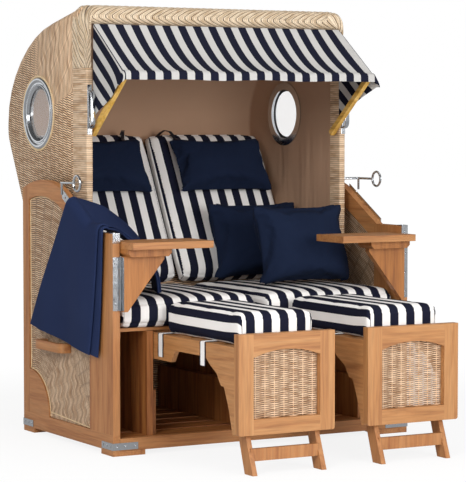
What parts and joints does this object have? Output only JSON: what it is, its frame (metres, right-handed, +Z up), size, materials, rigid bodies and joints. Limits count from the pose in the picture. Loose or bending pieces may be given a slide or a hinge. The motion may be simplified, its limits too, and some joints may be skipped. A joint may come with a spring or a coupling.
{
  "type": "hooded beach chair",
  "caption": "Two-seat hooded beach chair: wicker hood over a wooden base, striped cushions, pull-out footrests with folding legs, swing-out side tables and a small awning.",
  "frame": {"origin": "on the ground, under the middle of the chair's overall length and width", "axes": "+X to the right of a viewer in front of the chair, that is to the sitter's left; +Y from the footrests to the hood's back; +Z up"},
  "size_m": [1.31, 1.674, 1.6],
  "materials": {
    "oiled_wood": "oiled hardwood",
    "pale_wood": "clear-varnished ash",
    "plywood": "raw birch plywood",
    "wicker": "woven resin strand in tan and brown",
    "braid": "herringbone braid of pale resin strand",
    "cane": "wound resin cane",
    "striped_cloth": "navy and off-white striped canvas",
    "navy_cloth": "plain navy cotton",
    "lining_cloth": "woven taupe canvas",
    "steel": "polished stainless steel",
    "clear_pane": "clear flat pane"
  },
  "bodies": {
    "base": {"side_frame_left": "oiled_wood", "side_frame_right": "oiled_wood", "side_wicker_left": "wicker", "side_wicker_right": "wicker", "front_rail": "oiled_wood", "rear_frame": "oiled_wood", "rear_wicker": "wicker", "corner_bracket_left": "steel", "corner_bracket_right": "steel", "inner_frame": "oiled_wood", "seat_slats": "oiled_wood", "seat_cushion_left": "striped_cloth", "seat_cushion_right": "striped_cloth", "throw_pillow_front": "navy_cloth", "throw_pillow_rear": "navy_cloth", "folded_throw": "navy_cloth", "hood_pivot_left": "steel", "hood_pivot_right": "steel", "recline_strip_left": "steel", "recline_strip_right": "steel", "arm_cap_left": "steel", "arm_cap_right": "steel", "carry_handle_left": "oiled_wood", "carry_handle_right": "oiled_wood", "table_hinge_post_leaf_left": "steel", "table_hinge_post_leaf_right": "steel"},
    "hood": {"hood_shell": "wicker", "hood_lining": "lining_cloth", "hood_rim": "braid", "hood_post_left": "cane", "hood_post_right": "cane", "porthole_ring_left": "steel", "porthole_ring_right": "steel", "porthole_pane_left": "clear_pane", "porthole_pane_right": "clear_pane", "grab_handle_left": "steel", "grab_handle_right": "steel", "backrest_board": "plywood", "back_pad_left": "striped_cloth", "back_pad_right": "striped_cloth", "neck_pillow_left": "navy_cloth", "neck_pillow_right": "navy_cloth"},
    "awning": {"awning_frame": "pale_wood", "awning_cloth": "striped_cloth"},
    "lock_left": {"lock_lever_left": "steel"},
    "lock_right": {"lock_lever_right": "steel"},
    "footrest_left": {"footrest_frame_left": "oiled_wood", "footrest_wicker_left": "wicker", "footrest_pad_left": "striped_cloth"},
    "legs_left": {"footrest_legs_left": "oiled_wood"},
    "table_left": {"table_bracket_left": "oiled_wood", "table_hinge_leaf_left": "steel", "table_top_left": "oiled_wood"},
    "footrest_right": {"footrest_frame_right": "oiled_wood", "footrest_wicker_right": "wicker", "footrest_pad_right": "striped_cloth"},
    "legs_right": {"footrest_legs_right": "oiled_wood"},
    "table_right": {"table_bracket_right": "oiled_wood", "table_hinge_leaf_right": "steel", "table_top_right": "oiled_wood"}
  },
  "joints": [
    {"name": "hood_recline", "type": "hinge", "parent": "base", "child": "hood", "pos_m": [0, 0.5055, 0.5], "axis": [-1, 0, 0], "range_deg": [0, 40]},
    {"name": "awning_fold", "type": "hinge", "parent": "hood", "child": "awning", "pos_m": [0, 0.129, 1.137], "axis": [-1, 0, 0], "range_deg": [0, 41], "deforming": ["awning_cloth"]},
    {"name": "lock_lift_left", "type": "hinge", "parent": "hood", "child": "lock_left", "pos_m": [-0.6, 0.137, 0.955], "axis": [-1, 0, 0], "range_deg": [0, 40]},
    {"name": "footrest_slide_left", "type": "slide", "parent": "base", "child": "footrest_left", "axis": [0, 1, 0], "range_m": [0, 0.53], "deforming": ["footrest_pad_left"]},
    {"name": "legs_fold_left", "type": "hinge", "parent": "footrest_left", "child": "legs_left", "pos_m": [-0.255, -0.757, 0.152], "axis": [1, 0, 0], "range_deg": [0, 130]},
    {"name": "table_swing_left", "type": "hinge", "parent": "base", "child": "table_left", "pos_m": [-0.593, -0.242, 0.607], "axis": [0, 0, -1], "range_deg": [0, 90]},
    {"name": "lock_lift_right", "type": "hinge", "parent": "hood", "child": "lock_right", "pos_m": [0.6, 0.137, 0.955], "axis": [-1, 0, 0], "range_deg": [0, 40]},
    {"name": "footrest_slide_right", "type": "slide", "parent": "base", "child": "footrest_right", "axis": [0, 1, 0], "range_m": [0, 0.53], "deforming": ["footrest_pad_right"]},
    {"name": "legs_fold_right", "type": "hinge", "parent": "footrest_right", "child": "legs_right", "pos_m": [0.255, -0.757, 0.152], "axis": [1, 0, 0], "range_deg": [0, 130]},
    {"name": "table_swing_right", "type": "hinge", "parent": "base", "child": "table_right", "pos_m": [0.593, -0.242, 0.607], "axis": [0, 0, 1], "range_deg": [0, 90]}
  ],
  "couplings": [
    {"joint": "legs_fold_left", "follows": "footrest_slide_left", "rad_per_m": 4.2808},
    {"joint": "legs_fold_right", "follows": "footrest_slide_right", "rad_per_m": 4.2808}
  ]
}
